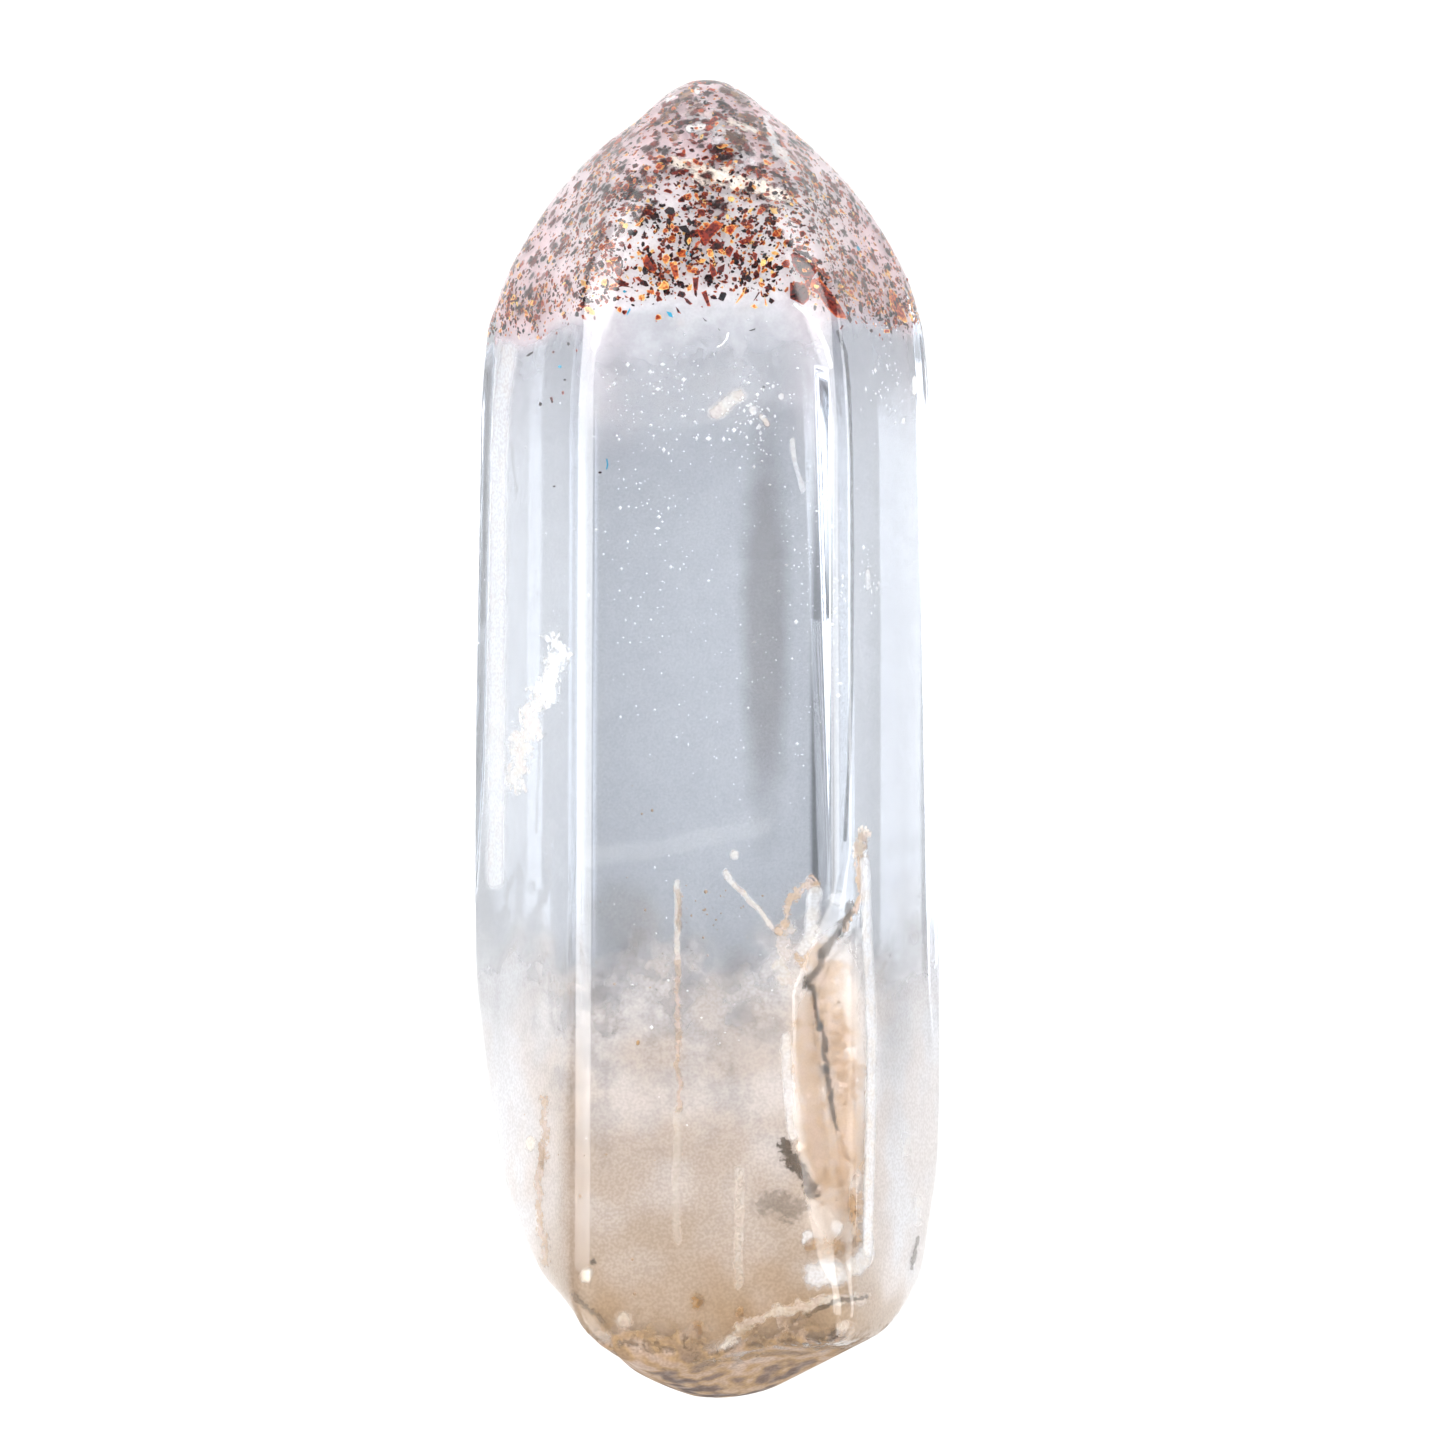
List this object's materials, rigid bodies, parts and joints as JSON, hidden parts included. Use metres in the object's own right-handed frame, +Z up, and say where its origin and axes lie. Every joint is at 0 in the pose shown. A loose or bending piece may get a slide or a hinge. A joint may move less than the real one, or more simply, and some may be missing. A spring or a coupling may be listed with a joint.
{
  "type": "lepidocrocite quartz crystal",
  "caption": "Clear six-sided quartz crystal lying on one prism face, with a pointed end full of red-brown flakes and a stained, worn base.",
  "frame": {"origin": "centre of the flat prism face that the crystal lies on, below the middle of its box", "axes": "+Y along the crystal's long axis towards its point, +Z up from the rest face, +X to the right when the point is seen away from the viewer"},
  "size_m": [0.0116, 0.033, 0.009],
  "materials": {
    "quartz": "clear natural crystal with a glossy, lightly worn skin"
  },
  "bodies": {
    "root": {"quartz_crystal": "quartz"}
  },
  "joints": []
}
